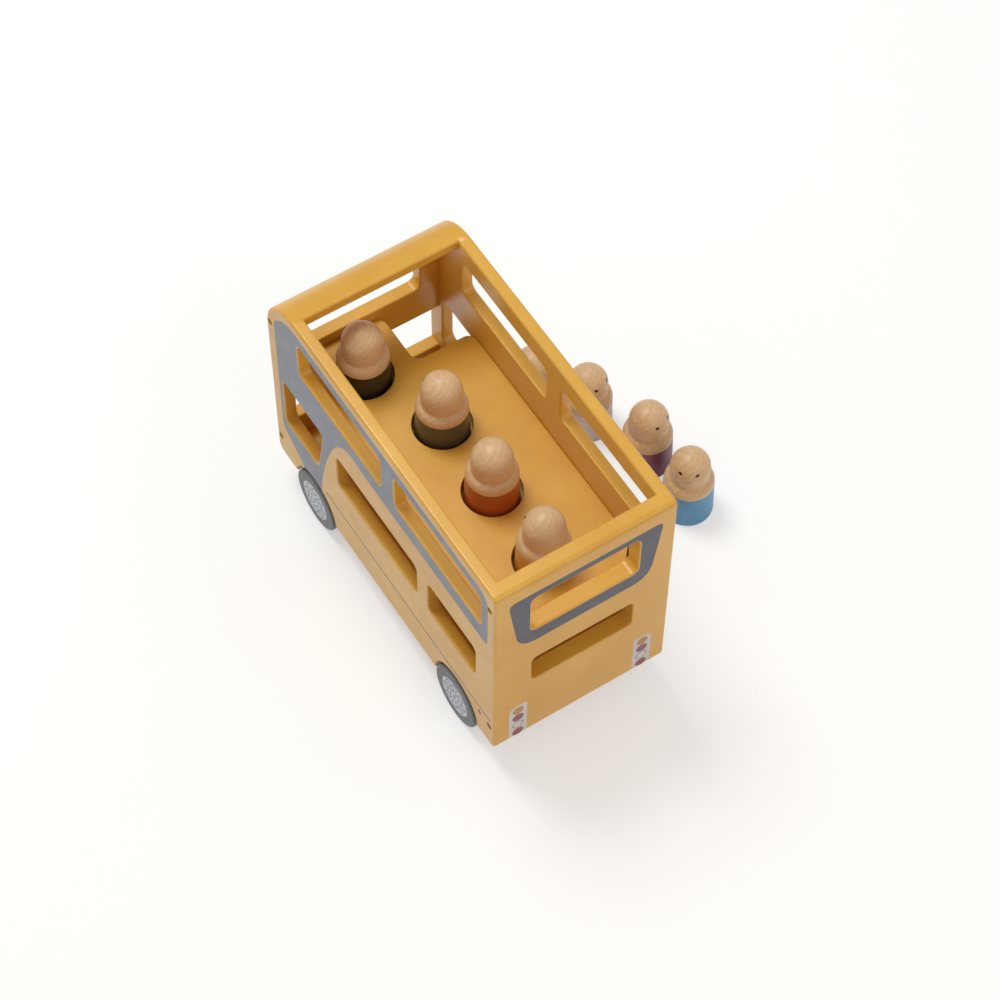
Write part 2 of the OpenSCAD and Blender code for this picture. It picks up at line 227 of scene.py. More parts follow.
def cut(piece, cutter, ink=False, how="DIFFERENCE"):
    only(piece)
    step = piece.modifiers.new("cut", "BOOLEAN")
    step.operation = how
    step.solver = "EXACT"
    step.material_mode = "TRANSFER" if ink else "INDEX"
    step.object = cutter
    bpy.ops.object.modifier_apply(modifier=step.name)
    bpy.data.objects.remove(cutter)


def copyOf(piece, name):
    only(piece)
    bpy.ops.object.duplicate(linked=False)
    return nameIt(name)


def moveTo(piece, place):
    only(piece)
    bpy.ops.transform.translate(value=place)
    bpy.ops.object.transform_apply(location=True, rotation=True, scale=True)


def turnBy(piece, angle, axis, pivot=(0, 0, 0)):
    only(piece)
    bpy.ops.transform.rotate(value=angle, orient_axis=axis, orient_type="GLOBAL",
                             center_override=pivot)
    bpy.ops.object.transform_apply(location=True, rotation=True, scale=True)


def finishShading(piece, angle=32):
    only(piece)
    bpy.ops.object.shade_smooth_by_angle(angle=math.radians(angle), keep_sharp_edges=False)
    step = piece.modifiers.new("flat faces", "WEIGHTED_NORMAL")
    step.keep_sharp = True
    step.weight = 100
    bpy.ops.object.modifier_apply(modifier=step.name)


def tone(red, green, blue):
    # a colour as the eye picks it, made linear
    def one(value):
        value /= 255
        return value / 12.92 if value <= 0.04045 else ((value + 0.055) / 1.055) ** 2.4
    return (one(red), one(green), one(blue), 1.0)


def newFinish(name):
    finish = bpy.data.materials.new(name)
    finish.use_nodes = True
    shader = finish.node_tree.nodes["Principled BSDF"]
    return finish, finish.node_tree, shader


def addNode(tree, kind, inputs=None, **settings):
    node = tree.nodes.new(kind)
    for key, value in settings.items():
        setattr(node, key, value)
    for key, value in (inputs or {}).items():
        if isinstance(value, bpy.types.NodeSocket):
            tree.links.new(value, node.inputs[key])
        else:
            node.inputs[key].default_value = value
    return node


def objectSpace(tree, scale=(1, 1, 1), turn=(0, 0, 0)):
    coords = addNode(tree, "ShaderNodeTexCoord")
    placed = addNode(tree, "ShaderNodeMapping", {"Vector": coords.outputs["Object"], "Scale": scale,
                                                 "Rotation": turn})
    return placed.outputs["Vector"]


def noise(tree, vector, scale, detail=3.0, rough=0.5):
    return addNode(tree, "ShaderNodeTexNoise",
                   {"Vector": vector, "Scale": scale, "Detail": detail,
                    "Roughness": rough}).outputs["Fac"]


def spread(tree, value, low, high, start=0.3, end=0.7):
    # stretches a noise between two values
    return addNode(tree, "ShaderNodeMapRange", {"Value": value, "From Min": start, "From Max": end,
                                                "To Min": low, "To Max": high}).outputs["Result"]


def blend(tree, factor, first, second, how="MIX"):
    node = addNode(tree, "ShaderNodeMix", data_type="RGBA", blend_type=how)
    for slot, value in ((0, factor), (6, first), (7, second)):
        if isinstance(value, bpy.types.NodeSocket):
            tree.links.new(value, node.inputs[slot])
        else:
            node.inputs[slot].default_value = value
    return node.outputs[2]


def sums(tree, how, first, second):
    node = addNode(tree, "ShaderNodeMath", operation=how)
    for slot, value in ((0, first), (1, second)):
        if isinstance(value, bpy.types.NodeSocket):
            tree.links.new(value, node.inputs[slot])
        else:
            node.inputs[slot].default_value = value
    return node.outputs[0]


def bump(tree, shader, height, strength, depth):
    node = addNode(tree, "ShaderNodeBump", {"Height": height, "Strength": strength,
                                            "Distance": depth * mm})
    tree.links.new(node.outputs["Normal"], shader.inputs["Normal"])
    return node


def wornEdges(tree, amount):
    # one on the rounded edges, broken up so that the paint looks rubbed in places
    mark = addNode(tree, "ShaderNodeAttribute", attribute_type="GEOMETRY",
                   attribute_name="wornEdge")
    patches = spread(tree, noise(tree, objectSpace(tree), 70, 5, 0.6), 0.0, 1.0, 0.44, 0.66)
    return sums(tree, "MULTIPLY", sums(tree, "MULTIPLY", mark.outputs["Fac"], patches), amount)


honeyPaint = {"light": (230, 179, 74), "body": (224, 170, 63), "deep": (216, 160, 51),
              "rubbed": (206, 150, 52), "roughness": 0.32, "shine": 1.56}


def honeyLacquer():
    finish, tree, shader = newFinish("honey lacquer")
    space = objectSpace(tree)
    clouds = spread(tree, noise(tree, space, 14, 3), 0, 1)
    fibres = noise(tree, objectSpace(tree, (9, 130, 60)), 9, 5, 0.6)
    colour = blend(tree, clouds, tone(*honeyPaint["deep"]), tone(*honeyPaint["light"]))
    colour = blend(tree, spread(tree, fibres, 0.0, 0.35), colour, tone(*honeyPaint["body"]))
    colour = blend(tree, wornEdges(tree, 0.3), colour, tone(*honeyPaint["rubbed"]))
    tree.links.new(colour, shader.inputs["Base Color"])
    peel = noise(tree, space, 420, 2)
    rough = sums(tree, "ADD", spread(tree, noise(tree, space, 60, 4), -0.04, 0.04),
                 honeyPaint["roughness"])
    tree.links.new(rough, shader.inputs["Roughness"])
    shader.inputs["IOR"].default_value = honeyPaint["shine"]
    bump(tree, shader, sums(tree, "ADD", peel, spread(tree, fibres, 0, 1.2)), 0.16, 0.05)
    return finish


def printedInk(name, colour, roughness=0.42):
    # silk-screened ink, lying thinly on the paint
    finish, tree, shader = newFinish(name)
    space = objectSpace(tree)
    clouds = spread(tree, noise(tree, space, 30, 4), 0.0, 1.0)
    light = tuple(min(255, value * 1.035 + 2) for value in colour)
    deep = tuple(value * 0.955 for value in colour)
    tree.links.new(blend(tree, clouds, tone(*deep), tone(*light)), shader.inputs["Base Color"])
    rough = sums(tree, "ADD", spread(tree, noise(tree, space, 120, 3), -0.05, 0.05), roughness)
    tree.links.new(rough, shader.inputs["Roughness"])
    shader.inputs["IOR"].default_value = 1.48
    bump(tree, shader, noise(tree, space, 900, 2), 0.12, 0.03)
    return finish


beechGrain = {"pale": (228, 197, 158), "warm": (216, 178, 134), "line": (190, 146, 102),
              "fleck": (176, 130, 92), "layer": 3.4, "roughness": 0.4}


def bareBeech(name="bare beech", turn=(0.62, -0.5, 0.35)):
    finish, tree, shader = newFinish(name)
    space = objectSpace(tree, turn=turn)
    # growth layers, bent a little, so that a turned head shows ovals
    bend = addNode(tree, "ShaderNodeTexNoise", {"Vector": space, "Scale": 22, "Detail": 2})
    bent = addNode(tree, "ShaderNodeVectorMath", {0: bend.outputs["Color"], 1: (0.008,) * 3},
                   operation="MULTIPLY")
    layered = addNode(tree, "ShaderNodeVectorMath", {0: space, 1: bent.outputs[0]}, operation="ADD")
    layers = addNode(tree, "ShaderNodeTexWave",
                     {"Vector": layered.outputs[0],
                      "Scale": 2 * math.pi / 20 / (beechGrain["layer"] * mm),
                      "Distortion": 0.6, "Detail": 2, "Detail Scale": 0.6},
                     wave_type="BANDS", bands_direction="Z", wave_profile="SAW").outputs["Fac"]
    fibres = noise(tree, objectSpace(tree, (1, 12, 12), turn), 75, 5, 0.6)
    pores = noise(tree, objectSpace(tree, (1, 5, 5), turn), 330, 1, 0.4)
    colour = blend(tree, spread(tree, fibres, 0, 1, 0.35, 0.68),
                   tone(*beechGrain["warm"]), tone(*beechGrain["pale"]))
    colour = blend(tree, spread(tree, layers, 0.0, 0.24, 0.2, 1.0), colour,
                   tone(*beechGrain["line"]))
    colour = blend(tree, spread(tree, pores, 0.0, 0.5, 0.68, 0.76), colour,
                   tone(*beechGrain["fleck"]))
    tree.links.new(colour, shader.inputs["Base Color"])
    rough = sums(tree, "ADD", spread(tree, fibres, -0.05, 0.06), beechGrain["roughness"])
    tree.links.new(rough, shader.inputs["Roughness"])
    shader.inputs["IOR"].default_value = 1.46
    bump(tree, shader, sums(tree, "ADD", fibres, spread(tree, layers, 0, 0.3, 0, 1)), 0.1, 0.04)
    return finish


def pegPaint(name, colour):
    finish, tree, shader = newFinish(name)
    space = objectSpace(tree)
    clouds = spread(tree, noise(tree, space, 45, 4), 0, 1)
    light = tuple(min(255, value * 1.08 + 3) for value in colour)
    deep = tuple(value * 0.9 for value in colour)
    brushed = noise(tree, objectSpace(tree, (1, 1, 14)), 60, 4)   # marks run round, as on a lathe
    base = blend(tree, clouds, tone(*deep), tone(*light))
    base = blend(tree, spread(tree, brushed, 0, 0.5), base, tone(*colour))
    tree.links.new(base, shader.inputs["Base Color"])
    rough = sums(tree, "ADD", spread(tree, brushed, -0.05, 0.05), 0.42)
    tree.links.new(rough, shader.inputs["Roughness"])
    shader.inputs["IOR"].default_value = 1.48
    bump(tree, shader, sums(tree, "ADD", brushed, noise(tree, space, 500, 2)), 0.18, 0.05)
    return finish


def wheelPaint():
    finish, tree, shader = newFinish("grey wheel paint")
    space = objectSpace(tree)
    clouds = spread(tree, noise(tree, space, 50, 4), 0, 1)
    colour = blend(tree, clouds, tone(92, 94, 98), tone(106, 108, 112))
    colour = blend(tree, wornEdges(tree, 0.5), colour, tone(140, 140, 142))
    tree.links.new(colour, shader.inputs["Base Color"])
    rough = sums(tree, "ADD", spread(tree, noise(tree, space, 90, 4), -0.05, 0.05), 0.45)
    tree.links.new(rough, shader.inputs["Roughness"])
    bump(tree, shader, noise(tree, space, 520, 3), 0.2, 0.05)
    return finish


def brushedSteel():
    finish, tree, shader = newFinish("brushed steel")
    rings = noise(tree, objectSpace(tree, (1, 60, 1)), 120, 4)
    colour = blend(tree, spread(tree, rings, 0, 1), tone(176, 178, 181), tone(204, 205, 207))
    tree.links.new(colour, shader.inputs["Base Color"])
    tree.links.new(spread(tree, rings, 0.24, 0.38), shader.inputs["Roughness"])
    shader.inputs["Metallic"].default_value = 1.0
    bump(tree, shader, rings, 0.15, 0.02)
    return finish


def bronzedSteel():
    finish, tree, shader = newFinish("bronzed steel")
    spots = noise(tree, objectSpace(tree), 700, 4)
    colour = blend(tree, spread(tree, spots, 0, 1), tone(92, 62, 40), tone(132, 92, 58))
    tree.links.new(colour, shader.inputs["Base Color"])
    tree.links.new(spread(tree, spots, 0.38, 0.55), shader.inputs["Roughness"])
    shader.inputs["Metallic"].default_value = 0.7
    bump(tree, shader, spots, 0.2, 0.02)
    return finish


honey = honeyLacquer()
beech = bareBeech()
sideGrey = printedInk("side window print", (126, 132, 146))
rearGrey = printedInk("rear window print", (82, 85, 96))
lineGrey = printedInk("side line print", (98, 84, 88))
plugBrown = printedInk("round mark print", (140, 88, 40))
lampWhite = printedInk("lamp plate print", (214, 212, 208))
lampAmber = printedInk("amber lamp print", (190, 140, 84))
lampRed = printedInk("red lamp print", (150, 76, 76))
lampRose = printedInk("rose lamp print", (146, 84, 96))
lampGrey = printedInk("lamp ring print", (150, 148, 150))
tyreGrey = wheelPaint()
hubPale = printedInk("hub print", (206, 212, 222))
hubLine = printedInk("hub line print", (112, 118, 130))
eyeBrown = printedInk("eye print", (52, 34, 22))
smileRed = printedInk("smile print", (164, 82, 62))
print("finishes made")


body = {
    "halfLength": 140, "halfWidth": 67.5, "height": 194,
    "innerRear": -127.5, "innerFront": 130, "innerSide": 58.5,
    "frontCurve": 39, "rearRound": 4, "toeRound": 8, "toeRise": 4,
    "edge": 2.0, "windowEdge": 1.2, "windowCorner": 5,
    "mouth": (10, 1.5),        # how far the room's cutter goes on above the rim, and widens
    "endCut": 60,              # where the end windows' cutters stop, inside the room
    "lip": 103, "lipBoard": 10, "lipRounds": (2, 4),
    "archX": (-92.7, 89.7), "archRadius": 26, "archEdge": 1.2,
    "sideWindows": ((-123.5, 142, -20.75, 176), (-3.75, 142, 99, 176),
                    (-117, 66.5, -59, 100.5), (-45.5, 66.5, 55.5, 100.5)),
    "driverWindow": ((82, 54), (125, 54), (125, 103), (73, 103)),
    "windscreen": (43, 88),
    "frontWindow": (44.5, 120, 166),
    "rearWindows": ((40.25, 133, 172, 5), (38.75, 67, 95, 4)),
    "screwHoles": ((-133.75, 23), (-133.75, 174.6), (135, 23), (135, 159.7)),
    "screwHole": (2.75, 3.5, 0.4),   # radius, depth, chamfer
}


def outerBlock():
    b = body
    piece = addBlock("bus", (-b["halfLength"], -b["halfWidth"], 0),
                     (b["halfLength"], b["halfWidth"], b["height"]))
    # the lower edge rises in front of the front wheels
    cut(piece, addBlock("toe", (b["archX"][1], -far, -far), (far, far, b["toeRise"])))
    for x, z, radius, steps in ((b["halfLength"], b["height"], b["frontCurve"], 24),
                                (-b["halfLength"], b["height"], b["rearRound"], 6),
                                (-b["halfLength"], 0, b["rearRound"], 6),
                                (b["halfLength"], b["toeRise"], b["toeRound"], 8)):
        pickEdges(piece, lambda e: runs(e, 1) and lies(e, 0, x) and lies(e, 2, z))
        bpy.ops.mesh.bevel(offset=radius * mm, segments=steps, profile=0.5, affect="EDGES")
        bpy.ops.object.mode_set(mode="OBJECT")
    roundEdges(piece, lambda e: (lies(e, 1, b["halfWidth"]) or lies(e, 1, -b["halfWidth"]))
               and sharp(e), b["edge"], 5)
    for x in b["archX"]:
        cut(piece, archCutter(x))
    return piece


def archCutter(x):
    # it widens a little where it leaves each side, which rounds the arch's edge
    b = body
    reach, radius, edge = b["halfWidth"], b["archRadius"], b["archEdge"]
    half = [(radius, 0)]
    for k in range(6):
        turn = math.radians(15 * k)
        half.append((radius + edge * (1 - math.cos(turn)), reach - edge + edge * math.sin(turn)))
    half.append((half[-1][0] + 0.3, reach + past))
    profile = [(0, -half[-1][1])] + [(r, -y) for r, y in reversed(half[1:])]
    profile += half[1:] + [(0, half[-1][1])]
    steps = 126
    piece = turnOnLathe("arch", profile, steps)
    turnBy(piece, math.pi / 2, "X")
    turnBy(piece, math.pi / steps, "Y")   # no corner of it lies on the board's lower edge
    moveTo(piece, Vector((x, 0, 0)) * mm)
    return piece


def hollow(piece):
    # one cutter for the room inside: its mouth widens upwards, which rounds the rim
    b = body
    side, rear, front, edge = b["innerSide"], b["innerRear"], b["innerFront"], b["edge"]
    room = addBlock("room", (rear, -side, -2 * past), (front + hair, side, b["height"] - edge))
    level, turns = b["height"] - edge, (0, 15, 30, 45, 60, 75)
    steps = [(edge * (math.sin(math.radians(then)) - math.sin(math.radians(now))),
              edge * (math.cos(math.radians(now)) - math.cos(math.radians(then))))
             for now, then in zip(turns, turns[1:])] + [b["mouth"]]
    for rise, out in steps:
        pickFaces(room, lambda f: f.normal.z > 0.9 and abs(centreOf(f).z - level) < 0.01)
        bpy.ops.mesh.extrude_region_move(TRANSFORM_OT_translate={"value": (0, 0, rise * mm)})
        mesh = bmesh.from_edit_mesh(room.data)
        for vertex in mesh.verts:
            if vertex.select:
                vertex.co.y += math.copysign(out * mm, vertex.co.y)
                if vertex.co.x < 0:
                    vertex.co.x -= out * mm
        bmesh.update_edit_mesh(room.data)
        bpy.ops.object.mode_set(mode="OBJECT")
        level += rise
    # what has to stay for the front curve and the roof lip
    curveX, curveZ = b["halfLength"] - b["frontCurve"], b["height"] - b["frontCurve"]
    inner, over, under = b["frontCurve"] - b["lipBoard"], b["lipRounds"][0], b["lipRounds"][1]
    topTurn = math.degrees(math.acos((b["lip"] + over - curveX) / (b["frontCurve"] - over)))
    underTurn = math.degrees(math.acos((b["lip"] + under - curveX) / (inner + under)))
    topZ = curveZ + (b["frontCurve"] - over) * math.sin(math.radians(topTurn))
    underZ = curveZ + (inner + under) * math.sin(math.radians(underTurn))
    above = b["height"] + 6 * past
    lip = [(b["lip"] + over, above)]
    lip += arc((b["lip"] + over, topZ), over, 90, 180, 6)
    lip += arc((b["lip"] + under, underZ), under, 180, 180 + underTurn, 10)
    lip += arc((curveX, curveZ), inner, underTurn, 0, 24)[1:]
    lip += [(far, curveZ), (far, above)]
    reach = side + edge + past
    cut(room, thicken(drawOutline("lip", [(x, -reach, z) for x, z in lip]), (0, 2 * reach, 0)))
    low, high = b["windscreen"]
    windscreen = addBlock("windscreen", (front - past, -side, low),
                          (b["halfLength"] + 2 * past, side, high))
    cut(room, windscreen, how="UNION")
    cut(piece, room)


def windowBlock(low, high, axis, radius):
    # a cutter with rounded corners, running through the boards along an axis
    piece = addBlock("window", low, high)
    pickEdges(piece, lambda e: runs(e, axis))
    bpy.ops.mesh.bevel(offset=radius * mm, segments=6, profile=0.5, affect="EDGES")
    bpy.ops.object.mode_set(mode="OBJECT")
    return piece


def cutWindows(piece):
    b = body
    for x1, z1, x2, z2 in b["sideWindows"]:
        cut(piece, windowBlock((x1, -far, z1), (x2, far, z2), 1, b["windowCorner"]))
    driver = drawOutline("driver", [(x, -far, z) for x, z in b["driverWindow"]])
    thicken(driver, (0, 2 * far, 0))
    pickEdges(driver, lambda e: runs(e, 1))
    bpy.ops.mesh.bevel(offset=b["windowCorner"] * mm, segments=6, profile=0.5, affect="EDGES")
    bpy.ops.object.mode_set(mode="OBJECT")
    cut(piece, driver)
    y, z1, z2 = b["frontWindow"]
    inside = b["endCut"]
    cut(piece, windowBlock((inside, -y, z1), (far, y, z2), 0, b["windowCorner"]))
    for y, z1, z2, corner in b["rearWindows"]:
        cut(piece, windowBlock((-far, -y, z1), (-inside, y, z2), 0, corner))


def softenWindows(piece):
    b = body
    planes = [(0, place) for place in (b["halfLength"], -b["halfLength"], b["innerFront"],
                                       b["innerRear"])]
    planes += [(1, place) for place in (b["halfWidth"], -b["halfWidth"], b["innerSide"],
                                        -b["innerSide"])]

    def atOpening(edge):
        middle = middleOf(edge)
        outside = abs(middle.y) > b["innerSide"] + 0.5
        if not sharp(edge) or (runs(edge, 1) and middle.z < 1 and abs(middle.x) < 120):
            return False
        if lies(edge, 2, 0) and outside:
            return False
        # the arches are rounded already, and the screw holes stay crisp
        crisp = [(x, 0, b["archRadius"] + b["archEdge"] + 1) for x in b["archX"]]
        crisp += [(x, z, b["screwHole"][0] + 1) for x, z in b["screwHoles"]]
        if outside and any(math.hypot(middle.x - x, middle.z - z) < reach
                           for x, z, reach in crisp):
            return False
        # the step round a print is no edge to round
        return any(lies(edge, axis, place)
                   and not any(f.material_index > 0 and abs(f.normal[axis]) < 0.5
                               for f in edge.link_faces)
                   for axis, place in planes)

    roundEdges(piece, atOpening, b["windowEdge"], 3)
    for face in piece.data.polygons:   # no ink on the rounded edges
        if piece.data.attributes["wornEdge"].data[face.index].value > 0.5:
            face.material_index = 0


def screwHoles(piece):
    b = body
    radius, depth, chamfer = b["screwHole"]
    profile = [(0, 0), (radius, 0), (radius, depth - chamfer)]
    profile += [(radius + chamfer, depth), (radius + chamfer, depth + past), (0, depth + past)]
    hole = turnOnLathe("screwHole", profile, 32)
    for x, z in b["screwHoles"]:
        for side in (-1, 1):
            cutter = copyOf(hole, "hole")
            turnBy(cutter, math.pi / 2, "X")
            if max(v.co.y for v in cutter.data.vertices) * side < mm:
                turnBy(cutter, math.pi, "Z")
            moveTo(cutter, Vector((x, side * (b["halfWidth"] - depth), z)) * mm)
            cut(piece, cutter)
    bpy.data.objects.remove(hole)


# The prints, in X and Z as seen on the left side, and in Y and Z on the rear
prints = {
    "band": ((-131.6, 130.4), (-129.6, 127), (-125, 127), (20, 127), (30, 128.4), (39.2, 127.9),
             (46.1, 123.9), (53.3, 114.9), (60, 102.9), (65.3, 88.9), (72.2, 67), (77.6, 43.5),
             (80.5, 20), (98, 18), (105.5, 27.5), (124.5, 39.8), (129, 44), (129.4, 50),
             (129.4, 167), (125.5, 172.9), (118, 180.6), (112.8, 183.4), (107, 185.6), (100, 186),
             (-124, 186), (-129.6, 182.4), (-132, 176)),
    "line": (-135.3, 73.4, 31.05, 32.55),
    "mark": (-122.4, 24.7, 2.1),
    "rear": ((56.9, 174), (56.5, 178), (53, 179.3), (-53, 179.3), (-56.5, 178), (-56.9, 174),
             (-51, 131), (-48.2, 124.6), (-43.2, 120.3), (-38, 119), (38, 119), (43.2, 120.3),
             (48.2, 124.6), (51, 131)),
    "plate": (41.8, 55.8, 3.2, 42.2, (2, 2, 6.5, 2.4)),
    "lamps": ((35.6, lampAmber), (26.1, lampRose), (16.6, lampWhite), (7.0, lampRed)),
    "lampRadius": 4.35, "lampRing": 0.9, "lampDepth": 0.6,
}


def ink(piece, finish):
    piece.data.materials.clear()
    piece.data.materials.append(finish)
    return piece


def printSides(piece):
    b = body
    for side in (1, -1):
        face = side * b["halfWidth"]
        edge = face - side * thin

        def lay(name, points, finish):
            shape = drawOutline(name, [(x, edge, z) for x, z in points])
            cut(piece, ink(thicken(shape, (0, side * past, 0)), finish), ink=True)

        lay("band", roundOff(prints["band"], 4, 3), sideGrey)
        x1, x2, z1, z2 = prints["line"]
        y1, y2 = sorted((edge, edge + side * past))
        cut(piece, ink(addBlock("line", (x1, y1, z1), (x2, y2, z2)), lineGrey), ink=True)
        x, z, radius = prints["mark"]
        mark = addRod("mark", (x, edge + side * past / 2, z), radius, past, alongY, 24)
        cut(piece, ink(mark, plugBrown), ink=True)


def printRear(piece):
    b = body
    edge = -b["halfLength"] + thin
    shape = drawOutline("trapezoid", [(edge, y, z) for y, z in roundOff(prints["rear"], 2.5, 3)])
    cut(piece, ink(thicken(shape, (-past, 0, 0)), rearGrey), ink=True)
    y1, y2, z1, z2, (a, b, c, d) = prints["plate"]
    # the upper outer corner is rounder than the others
    shape = arc((y1 + a, z1 + a), a, 180, 270, 4) + arc((y2 - b, z1 + b), b, 270, 360, 4)
    shape += arc((y2 - c, z2 - c), c, 0, 90, 8) + arc((y1 + d, z2 - d), d, 90, 180, 4)
    for side in (1, -1):
        plate = drawOutline("plate", [(edge, side * y, z) for y, z in shape])
        cut(piece, ink(thicken(plate, (-past, 0, 0)), lampWhite), ink=True)


def printLamps(piece):
    # each lamp is a disc of ink on its plate
    face = -body["halfLength"] + thin
    y1, y2 = prints["plate"][:2]
    lamps = []

    def disc(y, z, radius, proud, finish):
        deep = prints["lampDepth"]
        lamp = addRod("lamp", (face - proud + deep / 2, y, z), radius, deep, alongX, 48)
        lamps.append(ink(lamp, finish))

    for y in ((y1 + y2) / 2, -(y1 + y2) / 2):
        for z, finish in prints["lamps"]:
            if finish is lampWhite:   # with a grey ring round it
                disc(y, z, prints["lampRadius"], hair, lampGrey)
                disc(y, z, prints["lampRadius"] - prints["lampRing"], 2 * hair, finish)
            else:
                disc(y, z, prints["lampRadius"], 0.03, finish)
    only(piece)
    for lamp in lamps:
        lamp.select_set(True)
    bpy.ops.object.join()


def splitBody(piece):
    # the seams lie a hair inside the side boards' inner faces, where they don't show
    seam = (body["innerSide"] - hair) * mm
    boards = {}
    for name, side in (("leftBoard", 1), ("rightBoard", -1)):
        board = copyOf(piece, name)
        bpy.ops.object.mode_set(mode="EDIT")
        bpy.ops.mesh.select_all(action="SELECT")
        bpy.ops.mesh.bisect(plane_co=(0, side * seam, 0), plane_no=(0, side, 0), use_fill=True,
                            clear_inner=True, threshold=0.001 * mm)
        bpy.ops.object.mode_set(mode="OBJECT")
        boards[name] = board
    only(piece)
    bpy.ops.object.mode_set(mode="EDIT")
    for side in (1, -1):
        bpy.ops.mesh.select_all(action="SELECT")
        bpy.ops.mesh.bisect(plane_co=(0, side * seam, 0), plane_no=(0, side, 0), use_fill=True,
                            clear_outer=True, threshold=0.001 * mm)
    bpy.ops.mesh.select_all(action="SELECT")
    bpy.ops.mesh.separate(type="LOOSE")
    bpy.ops.object.mode_set(mode="OBJECT")
    # the loose parts come in any order: each is known by its place, and copied in a fixed order
    parts = {}
    for part in bpy.context.selected_objects:
        top = max(v.co.z for v in part.data.vertices) / mm
        front = max(v.co.x for v in part.data.vertices) / mm
        name = "rearBoard" if front < 0 else "frontUpperBoard" if top > 100 else "frontLowerBoard"
        parts[name] = part
    for name in sorted(parts):
        boards[name] = copyOf(parts[name], name)
        bpy.data.objects.remove(parts[name])
    return boards


bus = outerBlock()
ink(bus, honey)
printSides(bus)
printRear(bus)
hollow(bus)
cutWindows(bus)
screwHoles(bus)
softenWindows(bus)
print("body carved")
boards = splitBody(bus)
printLamps(boards["rearBoard"])
print("body split into", sorted(boards))
boardNodes = {"leftBoard": "left_side_panel", "rightBoard": "right_side_panel",
              "rearBoard": "rear_panel", "frontUpperBoard": "front_upper_panel",
              "frontLowerBoard": "front_lower_panel"}


decks = {
    "upper": (95.6, 110.6), "lower": (6, 22), "recess": 20.6, "recessDepth": 11.5,
    "seatX": (-88.5, -27.1, 34.3, 95.7), "upperY": (-2.5, -2.5, -2.5, 21), "lowerY": (-2.5,) * 4,
    "stairs": (86.5, -13.8, 7), "edge": 1.1, "recessEdge": 0.35,
}


def deckBoard(name, low, high, seatY, stairs=None):
    side, rear, front = body["innerSide"], body["innerRear"], body["innerFront"]
    piece = addBlock(name, (rear, -side, low), (front, side, high))
    if stairs:
        x, y, corner = stairs
        notch = addBlock("stairs", (x, -far, low - past), (far, y, high + past))
        pickEdges(notch, lambda e: runs(e, 2) and lies(e, 0, x) and lies(e, 1, y))
        bpy.ops.mesh.bevel(offset=corner * mm, segments=8, profile=0.5, affect="EDGES")
        bpy.ops.object.mode_set(mode="OBJECT")
        cut(piece, notch)
        ends = ((x, -side), (front, y))   # the notch's two outer corners are rounded too
        pickEdges(piece, lambda e: runs(e, 2) and any(lies(e, 0, endX) and lies(e, 1, endY)
                                                      for endX, endY in ends))
        bpy.ops.mesh.bevel(offset=corner * mm, segments=8, profile=0.5, affect="EDGES")
        bpy.ops.object.mode_set(mode="OBJECT")
    roundEdges(piece, lambda e: sharp(e) and lies(e, 2, high), decks["edge"], 4)
    for x, y in zip(decks["seatX"], seatY):
        depth = decks["recessDepth"]
        cut(piece, addRod("recess", (x, y, high - depth / 2 + past), decks["recess"],
                          depth + 2 * past))
    roundEdges(piece, lambda e: sharp(e) and lies(e, 2, high), decks["recessEdge"], 3)
    return ink(piece, honey)


upperDeck = deckBoard("upperDeck", *decks["upper"], decks["upperY"], decks["stairs"])
lowerDeck = deckBoard("lowerDeck", *decks["lower"], decks["lowerY"])

axleBlocks = {"halfLength": 13, "halfWidth": 58, "low": -7.5, "high": 6, "bore": 2.58, "edge": 1.2,
              "boreEdge": 0.4}


def axleBlock(name, x):
    a = axleBlocks
    piece = addBlock(name, (x - a["halfLength"], -a["halfWidth"], a["low"]),
                     (x + a["halfLength"], a["halfWidth"], a["high"]))
    roundEdges(piece, lambda e: sharp(e) and not lies(e, 2, a["high"]), a["edge"], 3)
    cut(piece, addRod("bore", (x, 0, 0), a["bore"], far, alongY, 48))
    roundEdges(piece, lambda e: sharp(e) and abs(abs(middleOf(e).y) - a["halfWidth"]) < hair
               and math.hypot(middleOf(e).x - x, middleOf(e).z) < a["bore"] + a["boreEdge"],
               a["boreEdge"], 2)
    return ink(piece, beech)


frontBlock = axleBlock("frontAxleBlock", body["archX"][1])
rearBlock = axleBlock("rearAxleBlock", body["archX"][0])
print("decks and axle blocks made")


wheel = {"radius": 24, "width": 9, "inner": 59.5, "edge": 1.8, "axle": 2.5, "seat": 6.5,
         "hub": 15.4, "loops": 8, "loopAt": 10.6, "loopRadius": 3.4, "loopLine": 1.1,
         "dotAt": 5.2, "dot": 1.1, "middle": 1.7}


